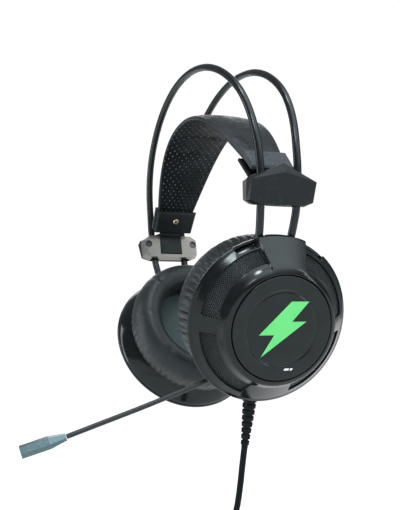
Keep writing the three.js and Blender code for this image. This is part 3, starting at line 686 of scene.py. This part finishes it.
def carve(piece, cutters, place):
    """Cuts closed shapes, given in the cup's millimetres, out of a piece."""
    name, material = piece.data.name, piece.data.materials[0]
    for points, faces in cutters:
        cutter_mesh = bpy.data.meshes.new("cutter")
        cutter_mesh.from_pydata([place @ (Vector(p) * MM) for p in points], [], faces)
        cutter = bpy.data.objects.new("cutter", cutter_mesh)
        bpy.context.scene.collection.objects.link(cutter)
        fix = bmesh.new()
        fix.from_mesh(cutter_mesh)
        bmesh.ops.recalc_face_normals(fix, faces=fix.faces)
        fix.to_mesh(cutter_mesh)
        fix.free()
        modifier = piece.modifiers.new("cut", "BOOLEAN")
        modifier.object = cutter
        modifier.solver = "EXACT"
        bpy.context.view_layer.update()
        evaluated = piece.evaluated_get(bpy.context.evaluated_depsgraph_get())
        new = bpy.data.meshes.new_from_object(evaluated)
        piece.modifiers.clear()
        new.name = name
        piece.data = new
        bpy.data.objects.remove(cutter)
    piece.data.materials.clear()
    piece.data.materials.append(material)
    sharpen(piece.data, 38)


def box_mesh(x0, x1, y0, y1, z0, z1):
    points = [(x, y, z) for x in (x0, x1) for y in (y0, y1) for z in (z0, z1)]
    return points, [(0, 1, 3, 2), (4, 6, 7, 5), (0, 4, 5, 1), (2, 3, 7, 6), (0, 2, 6, 4), (1, 5, 7, 3)]


def round_mesh(centre, radius, z0, z1, sides=32):
    turns = [2 * math.pi * k / sides for k in range(sides)]
    flat = [(centre[0] + radius * math.cos(t), centre[1] + radius * math.sin(t)) for t in turns]
    return prism(flat, z0, z1)


def wedge_mesh(centre, radius, low, high, z0, z1, steps=10):
    flat = [centre] + [
        (centre[0] + radius * math.cos(math.radians(low + (high - low) * k / steps)),
         centre[1] + radius * math.sin(math.radians(low + (high - low) * k / steps)))
        for k in range(steps + 1)
    ]
    return prism(flat, z0, z1)


def prism(flat, z0, z1):
    count = len(flat)
    points = [(x, y, z) for z in (z0, z1) for x, y in flat]
    faces = [tuple(range(count))[::-1], tuple(range(count, 2 * count))]
    faces += [(k, (k + 1) % count, count + (k + 1) % count, count + k) for k in range(count)]
    return points, faces


# The bolt's corners on the disc, and the steps inward from its edge as (width, shade, rise).
BOLT = [(4, 16), (-14.5, -3.6), (-5, -3.6), (-12, -16.5), (14.5, 4.2), (5.5, 4.2), (15, 16)]
BOLT_Z = 20.25
BOLT_STEPS = [(0.35, 0.1, 0.35), (1.0, 0.55, 0.1), (1.2, 1.0, 0.0)]


def emblem(side):
    """The lit bolt: a crowned lens that is lighter in its middle than at its edges."""
    made = bmesh.new()
    corners = [made.verts.new((x * MM, y * MM, BOLT_Z * MM)) for x, y in BOLT]
    face = made.faces.new(corners)
    made.normal_update()
    if face.normal.z < 0:
        face.normal_flip()
    layer = made.verts.layers.float.new("centre")
    for width, shade, lift in BOLT_STEPS:
        bmesh.ops.inset_region(made, faces=[face], thickness=width * MM, depth=0, use_even_offset=True)
        for vert in face.verts:
            vert[layer] = shade
            vert.co.z += lift * MM
    mesh = bpy.data.meshes.new(side + "_emblem")
    made.to_mesh(mesh)
    made.free()
    mesh.transform(SIDES[side] @ CUP)
    if side == "right":
        mesh.flip_normals()
    sharpen(mesh, 50)
    return link(side + "_emblem", mesh, side + "_cup", M["lens"], (side + "_emblem_lens",))


def small_bar(side):
    """Two short plain bars on the disc, below the bolt."""
    points, faces = [], []
    for x0, x1 in ((3.5, 6.4), (7.2, 8.6)):
        base, loops = box_mesh(x0, x1, -24.6, -23.4, 20.5, 20.82)
        base = [(x + (y + 24) * 0.5, y, z) for x, y, z in base]
        faces += [tuple(k + len(points) for k in face) for face in loops]
        points += base
    place = SIDES[side] @ CUP
    mesh = mesh_from(side + "_disc_bars", [place @ (Vector(p) * MM) for p in points], faces)
    return link(side + "_disc_bars", mesh, side + "_cup", M["silver"])


def disc(side):
    """The centre disc, with a groove round the emblem's field."""
    place = SIDES[side] @ CUP
    profile = [
        (0.02, 17.2), (30.7, 17.2), (30.7, 20.1), (30.55, 20.45), (30.2, 20.65), (29.6, 20.7),
        (24.0, 20.72), (22.9, 20.66), (22.5, 20.4), (22.1, 20.05), (21.6, 19.95), (21.1, 20.1),
        (20.8, 20.3), (20.2, 20.36), (12, 20.28), (0.02, 20.2),
    ]
    mesh = lathe(side + "_disc", profile, place, side == "right", 50)
    return link(side + "_disc", mesh, side + "_cup", M["gloss"], (side + "_centre_disc",))


def grille(side):
    """The mesh cone behind the cover's windows."""
    place = SIDES[side] @ CUP
    profile = [(45.6, 3.2), (44.1, 4.8), (40.4, 8.7), (36.8, 12.5), (36.0, 11.8), (44.9, 2.4)]
    mesh = lathe(side + "_grille_mesh", profile, place, side == "right", 50)
    return link(side + "_grille_mesh", mesh, side + "_cup", M["grille"], (side + "_grille",))


# ---- Ear pads -------------------------------------------------------------------------------------------
PAD_PROFILE = [
    (31.2, -12.5), (38, -12.4), (42.6, -12.5), (44.9, -15), (46.2, -19.2),
    (46.5, -24), (45.9, -28.6), (44.0, -32.9), (41.3, -36.1), (38.2, -37.7),
    (34.6, -37.6), (31.8, -36.1), (29.9, -33), (29.2, -28), (29.9, -20),
]
PAD_MIDDLE = Vector((37.8, -25))
PAD_COLUMNS = 432
PLEATS = 64
PLEAT_DEPTH = {"left": 2.4, "right": 1.4}
PAD_SEED = {"left": 7, "right": 11}
CREASES = 20


def ear_pad(side):
    """A leatherette cushion with pleats gathered at its outer seam and soft creases over its face."""
    place = SIDES[side] @ CUP
    chance = random.Random(PAD_SEED[side])
    for _ in range(PLEATS):
        chance.random()  # spent, so that the draws below keep their values
    profile = smooth_loop(PAD_PROFILE, 4)
    depths = [chance.uniform(0.55, 1.15) for _ in range(PLEATS)]
    creases = [(chance.uniform(0, 2 * math.pi), chance.uniform(0.35, 0.9), chance.uniform(0.035, 0.07),
                chance.uniform(-0.35, 0.35), chance.uniform(-0.9, 0.6)) for _ in range(CREASES)]
    rows = []
    for point in profile:
        outward = point - PAD_MIDDLE
        angle = math.atan2(outward.y, outward.x)  # 0 is the outer side, -pi/2 the face against the ear
        away = outward.normalized()
        outer = max(0.0, math.cos(angle - 0.12))
        seam = max(0.0, min(1.0, (point.y + 33) / 16)) * outer ** 0.6
        face = max(0.0, math.cos(angle + math.pi / 2)) ** 0.8
        row = []
        for j in range(PAD_COLUMNS):
            turn = 2 * math.pi * j / PAD_COLUMNS
            along = turn / (2 * math.pi) * PLEATS
            index = int(along) % PLEATS
            share = along - int(along)
            share = min(1.0, max(0.0, share + 0.16 * math.sin(index * 2.4) * math.sin(math.pi * share)))
            bulge = math.sin(math.pi * share) ** 0.6
            depth = depths[index] * (0.35 + 0.65 * seam)
            wander = 0.5 + 0.5 * noise.noise(Vector((along * 0.8, point.y * 0.12, 3.0)))
            push = -PLEAT_DEPTH[side] * seam * depth * (1 - bulge) - 0.3 * seam * wander
            for where, deep, wide, lean, reach in creases:
                gap = (turn - where - lean * (angle + math.pi / 2) * 0.25 + math.pi) % (2 * math.pi) - math.pi
                fall = math.exp(-((angle + math.pi / 2 - reach) / 0.8) ** 2)
                push -= deep * math.exp(-(gap / wide) ** 2) * fall * face
                push += 0.35 * deep * math.exp(-((gap - 1.8 * wide) / wide) ** 2) * fall * face
            soft = noise.noise(Vector((math.cos(turn) * 2.4, math.sin(turn) * 2.4, point.y * 0.07)))
            push += 0.4 * soft * face
            row.append(around(place, point.x + away.x * push, turn, point.y + away.y * push))
        rows.append(row)
    mesh = grid(side + "_ear_cushion", rows, wrap_v=True, flip=side != "right", degrees=70)
    piece = link(side + "_ear_cushion", mesh, side + "_cup", M["pad"], (side + "_ear_pad",))
    return piece


def pad_cloth(side):
    """The cloth over the driver, slack enough to crown a little."""
    place = SIDES[side] @ CUP
    rim, rings, columns = 30.3, 12, 72
    rows = []
    for k in range(rings + 1):
        r = rim * k / rings + 0.02
        z = -16 - 0.5 * (1 - (r / rim) ** 2)
        rows.append([around(place, r, 2 * math.pi * j / columns, z) for j in range(columns)])
    mesh = grid(side + "_driver_cloth", rows, flip=side == "left", degrees=60)
    return link(side + "_driver_cloth", mesh, side + "_cup", M["cloth"], (side + "_speaker_cloth",))


for side in SIDES:
    housing(side)
    front_cover(side)
    grille(side)
    disc(side)
    emblem(side)
    small_bar(side)
    ear_pad(side)
    pad_cloth(side)


# ---- Hoops ----------------------------------------------------------------------------------------------
HOOP_R = 2.35 * MM


def half_spacing(z):
    """Half the gap between the two wires' middles at a height, in millimetres."""
    return 11.5 + 0.024 * (z - 60) + 0.045 * max(0, z - 98) - 0.056 * max(0, 60 - z)


def hoop_path(forward):
    """Three tangent arcs on each side, from inside the right cup over the head into the left one."""
    arc_r, arc_z, shoulder_r, crown_r = 91.5, 89, 68.2, 100.1
    top, foot = math.radians(14), math.radians(-36)
    shoulder = ((arc_r - shoulder_r) * math.cos(top), arc_z + (arc_r - shoulder_r) * math.sin(top))
    joined = math.acos(shoulder[0] / (crown_r - shoulder_r))
    crown_z = shoulder[1] - (crown_r - shoulder_r) * math.sin(joined)
    side = []
    for k in range(40):
        turn = foot + (top - foot) * k / 40
        side.append((arc_r * math.cos(turn), arc_z + arc_r * math.sin(turn)))
    for k in range(40):
        turn = top + (joined - top) * k / 40
        side.append((shoulder[0] + shoulder_r * math.cos(turn), shoulder[1] + shoulder_r * math.sin(turn)))
    for k in range(31):
        turn = joined + (math.pi / 2 - joined) * k / 30
        side.append((crown_r * math.cos(turn), crown_z + crown_r * math.sin(turn)))
    sign = -1 if forward else 1
    left = [Vector((x, sign * half_spacing(z), z)) * MM for x, z in side]
    return left + [Vector((-p.x, p.y, p.z)) for p in left[-2::-1]]


for end in ("front", "rear"):
    rows = tube_rows(hoop_path(end == "front"), HOOP_R, 20)
    mesh = grid("wire_" + end, rows, cap=True, degrees=60)
    link("wire_" + end, mesh, "frame", M["hoop"], ("hoop_" + end,))


# ---- Strap ----------------------------------------------------------------------------------------------
CAP_TILT = math.radians(40)
CAP = (76.1, 90.8)  # x and z of the left cap's middle, millimetres
STRAP_TOP = 139.5


def strap_line(count):
    """The strap's middle line, evenly spaced, as (x, z) millimetres with its upward normal."""
    lean = Vector((-math.sin(CAP_TILT), math.cos(CAP_TILT)))
    start = Vector(CAP) + lean * -0.8
    handles = [start, start + lean * 32.8, Vector((34, STRAP_TOP)), Vector((0, STRAP_TOP))]
    raw = []
    for k in range(401):
        t = k / 400
        raw.append(
            handles[0] * (1 - t) ** 3 + handles[1] * 3 * t * (1 - t) ** 2
            + handles[2] * 3 * t * t * (1 - t) + handles[3] * t ** 3
        )
    whole = raw + [Vector((-p.x, p.y)) for p in raw[-2::-1]]
    lengths = [0.0]
    for a, b in zip(whole, whole[1:]):
        lengths.append(lengths[-1] + (b - a).length)
    found, k = [], 0
    for i in range(count):
        wanted = lengths[-1] * i / (count - 1)
        while k < len(whole) - 2 and lengths[k + 1] < wanted:
            k += 1
        share = (wanted - lengths[k]) / (lengths[k + 1] - lengths[k])
        point = whole[k].lerp(whole[k + 1], min(1, share))
        along = (whole[k + 1] - whole[k]).normalized()
        found.append((point, Vector((along.y, -along.x))))
    return found


STRAP_HALF_WIDTH = 20.9  # at the crown, millimetres


def strap_half_width(x):
    return STRAP_HALF_WIDTH - 7.6 * (abs(x) / 70) ** 2.6


STRAP_STATIONS = 181
STRAP_LINE = strap_line(STRAP_STATIONS)


def strap_thickness(i):
    """The whole strap's thickness at a station, in millimetres."""
    return 3.4 + 3.6 * math.sin(math.pi * i / (STRAP_STATIONS - 1)) ** 2


def strap_point(i, share, height):
    """A point of the strap: share from -1 to 1 across it, height in millimetres above its middle surface."""
    point, up = STRAP_LINE[i]
    half = strap_half_width(point.x)
    at = point + up * height
    return Vector((at.x, share * half, at.y)) * MM


LINING_CREASES = [(-12, 0.9), (11, 0.8), (-31, 0.4), (34, 0.5)]  # x and depth, millimetres


def strap_layer(outer):
    """One padded layer. It pulls in towards its edges, and the lining creases where the strap bends."""
    across = 36
    sign = 1 if outer else -1
    rows = []
    for i in range(STRAP_STATIONS):
        half = strap_thickness(i) / 2
        x = STRAP_LINE[i][0].x
        row = []
        for j in range(across + 1):
            share = -1 + 2 * j / across
            edge = abs(share)
            crown = 0.38 + 0.62 * (1 - edge ** 3.2)
            seam = math.exp(-((edge - 0.84) / 0.025) ** 2)
            height = half * crown - 0.28 * seam
            wave = noise.noise(Vector((x * 0.09, share * 1.6, 5.0 if outer else 9.0)))
            fine = noise.noise(Vector((x * 0.42, share * 3.2 + 0.02 * x, 2.0 if outer else 7.0)))
            calm = (1 - edge ** 4) * min(1.0, (78 - abs(x)) / 14)
            height += (0.32 * wave + 0.2 * fine) * calm
            if not outer:
                for where, deep in LINING_CREASES:
                    bent = x - where + 6 * share * share
                    height -= deep * math.exp(-(bent / 2.2) ** 2) * calm
            row.append(strap_point(i, share, sign * max(0.25, height)))
        for j in range(across, -1, -1):
            row.append(strap_point(i, -1 + 2 * j / across, sign * 0.15))
        rows.append(row)
    name = "strap_cushion" if outer else "strap_underside"
    mesh = grid(name, rows, cap=True, flip=not outer, degrees=60)
    material = M["strap"] if outer else M["lining"]
    piece = link(name, mesh, "strap", material, ("strap_cover" if outer else "strap_lining",))
    return piece


PIPING_R = 0.95 * MM
PIPING_INSET = 0.15 * MM


def strap_piping(sign):
    inward = Vector((0, -sign * PIPING_INSET, 0))
    path = [strap_point(i, sign, 0) + inward for i in range(2, STRAP_STATIONS - 2)]
    mesh = grid("strap_piping", tube_rows(path, PIPING_R, 10), cap=True, degrees=60)
    name = "strap_piping_" + ("rear" if sign > 0 else "front")
    return link(name, mesh, "strap", M["piping"])


strap_layer(True)
strap_layer(False)
strap_piping(1)
strap_piping(-1)


# ---- Microphone -----------------------------------------------------------------------------------------
BOOM_R = 1.45 * MM


def boom():
    """The microphone's arm, from its knuckle through one bend to the capsule."""
    root = on_cup(*KNUCKLE, KNUCKLE_Z)
    middle = Vector((37.6, -69.7, -47)) * MM
    end = Vector((28.2, -112.6, -61.5)) * MM
    marks = [root.lerp(middle, 0.045), root.lerp(middle, 0.5), middle, middle.lerp(end, 0.5), end]
    path = smooth_line(marks, 40)
    mesh = grid("boom", tube_rows(path, BOOM_R, 14), cap=True, degrees=60)
    return link("boom", mesh, "mic", M["boom"], ("mic_boom",))


boom()


# ---- Strain relief --------------------------------------------------------------------------------------
def strain_relief():
    """A tapered sleeve whose rows of ribs are split, each row turned a quarter from the last."""
    turn = Vector((0, 0, 1)).rotation_difference(RELIEF_AXIS)
    count, ribs, neck = 48, 8, 6.2
    pitch = (RELIEF_MM - neck) / ribs
    rows = []

    def ring(z, radius, row_index=None, drop=0.0):
        points = []
        for j in range(count):
            angle = 2 * math.pi * j / count
            r = radius
            if row_index is not None:
                quarter = (angle + (row_index % 2) * math.pi / 2) % math.pi
                if min(quarter, math.pi - quarter) < 0.32:
                    r -= drop
            points.append(RELIEF_ROOT + around(turn, r, angle, z))
        rows.append(points)

    for z, r in ((-2.0, 0.3), (-2.0, 5.2), (-0.8, 5.2), (-0.8, 3.8), (neck - 0.6, 3.8), (neck - 0.2, 4.2)):
        ring(z, r)
    for i in range(ribs):
        z = neck + pitch * i
        outer = 4.35 - 1.75 * i / (ribs - 1)
        core = outer - 0.95
        for share, r, drop in ((0.0, outer - 0.15, 0.8), (0.05, outer, 0.95), (0.6, outer - 0.08, 0.87),
                               (0.66, outer - 0.3, 0.65), (0.7, core, 0.0), (0.94, core - 0.1, 0.0)):
            ring(z + share * pitch, r, i, drop)
    ring(RELIEF_MM - 0.3, 2.25)
    ring(RELIEF_MM, 2.1)
    ring(RELIEF_MM, 0.3)
    mesh = grid("relief", rows, degrees=35)
    return link("relief", mesh, "left_cup", M["rubber"], ("strain_relief",))


strain_relief()


# ---- CAD nodes that stay --------------------------------------------------------------------------------
def dress(name, material, width=0.0, degrees=28):
    """Gives a CAD node its material, and soft edges of a width in millimetres."""
    piece = nodes[name]
    piece.data.materials.clear()
    piece.data.materials.append(material)
    sharpen(piece.data, degrees)
    if width:
        bevel(piece, width, 2, degrees)


for side in SIDES:
    dress(side + "_slider_shell", M["satin"])
    dress(side + "_slider_plate", M["plate"])
    dress(side + "_slider_tongue", M["satin"])
    dress(side + "_slider_screw_front", M["screw"])
    dress(side + "_slider_screw_rear", M["screw"])
    dress(side + "_cap_outer", M["grain"], 0.25)
    dress(side + "_cap_inner", M["satin"], 0.2)
    dress(side + "_cap_rivet", M["brass"])
    dress(side + "_hoop_anchor", M["satin"])
    dress(side + "_pivot_pin_front", M["steel"])
    dress(side + "_pivot_pin_rear", M["steel"])
    dress(side + "_led_board", M["board"])
    dress(side + "_baffle", M["satin"])
    dress(side + "_driver", M["satin"])
dress("mic_knuckle", M["satin"])
dress("mic_capsule", M["steel_blue"], 0.25)
dress("mic_element", M["grille"])
dress("cable_tie", M["satin"], 0.2)
dress("usb_plug_body", M["satin"], 0.6)
dress("usb_plug_shell", M["steel"], 0.1)


# ---- Floor, world and light -----------------------------------------------------------------------------
FLOOR_Z = -0.2365
FLOOR_HALF = 30


def add_stage():
    mesh = bpy.data.meshes.new("floor")
    corners = [(x * FLOOR_HALF, y * FLOOR_HALF, FLOOR_Z) for x, y in ((-1, -1), (1, -1), (1, 1), (-1, 1))]
    mesh.from_pydata(corners, [], [(0, 1, 2, 3)])
    floor = bpy.data.objects.new("floor", mesh)
    bpy.context.scene.collection.objects.link(floor)
    s = Shader("floor", (0.4, 0.4, 0.4), 0.9)
    s.bsdf.inputs["Emission Color"].default_value = (1, 1, 1, 1)
    s.tint(s.noise(3, 2), (0.42, 0.42, 0.42), 0.3, 0.7)
    s.bsdf.inputs["Emission Strength"].default_value = 0.74
    s.bsdf.inputs["Specular IOR Level"].default_value = 0.0
    mesh.materials.append(s.material)


def add_world():
    """White where the camera sees it. What it lights with grows brighter towards one high side."""
    world = bpy.data.worlds.new("world")
    bpy.context.scene.world = world
    world.use_nodes = True
    tree = world.node_tree
    tree.nodes.clear()
    out = tree.nodes.new("ShaderNodeOutputWorld")
    path = tree.nodes.new("ShaderNodeLightPath")
    seen = tree.nodes.new("ShaderNodeBackground")
    seen.inputs["Color"].default_value = (1, 1, 1, 1)
    seen.inputs["Strength"].default_value = 1.05
    lit = tree.nodes.new("ShaderNodeBackground")
    lit.inputs["Color"].default_value = (0.94, 0.98, 1.0, 1)
    direction = tree.nodes.new("ShaderNodeTexCoord")
    towards = tree.nodes.new("ShaderNodeVectorMath")
    towards.operation = "DOT_PRODUCT"
    towards.inputs[1].default_value = Vector((0.56, 0.1, 0.82)).normalized()
    tree.links.new(direction.outputs["Generated"], towards.inputs[0])
    glow = tree.nodes.new("ShaderNodeMapRange")
    glow.interpolation_type = "SMOOTHSTEP"
    for index, number in enumerate((0.62, 0.99, 0.25, 3.6)):
        glow.inputs[index + 1].default_value = number
    tree.links.new(towards.outputs["Value"], glow.inputs[0])
    tree.links.new(glow.outputs[0], lit.inputs["Strength"])
    mix = tree.nodes.new("ShaderNodeMixShader")
    tree.links.new(path.outputs["Is Camera Ray"], mix.inputs["Fac"])
    tree.links.new(lit.outputs[0], mix.inputs[1])
    tree.links.new(seen.outputs[0], mix.inputs[2])
    tree.links.new(mix.outputs[0], out.inputs["Surface"])


def area_light(name, at, to, size, power, color=(1, 1, 1)):
    data = bpy.data.lights.new(name, "AREA")
    data.shape = "RECTANGLE"
    data.size, data.size_y = size
    data.energy = power
    data.color = color
    lamp = bpy.data.objects.new(name, data)
    lamp.location = at
    lamp.rotation_mode = "QUATERNION"
    lamp.rotation_quaternion = (Vector(to) - Vector(at)).to_track_quat("-Z", "Y")
    bpy.context.scene.collection.objects.link(lamp)


add_stage()
add_world()
area_light("key", (0.81, -0.53, 0.83), (0.085, -0.03, 0.03), (0.3, 0.13), 3.4)
area_light("overhead", (0.24, -0.27, 1.22), (0.09, -0.02, 0.02), (0.22, 0.15), 3)
area_light("left", (-0.6, -1.15, 0.15), (0, 0, 0.0), (0.35, 1.3), 8, (0.95, 0.98, 1))
area_light("right", (1.0, 1.0, 0.35), (0, 0, 0.04), (0.16, 1.0), 3)
area_light("back", (-1.2, 0.4, 0.8), (0, 0, 0.05), (0.9, 0.7), 4, (0.97, 0.99, 1))
bpy.context.scene.view_settings.view_transform = "Standard"
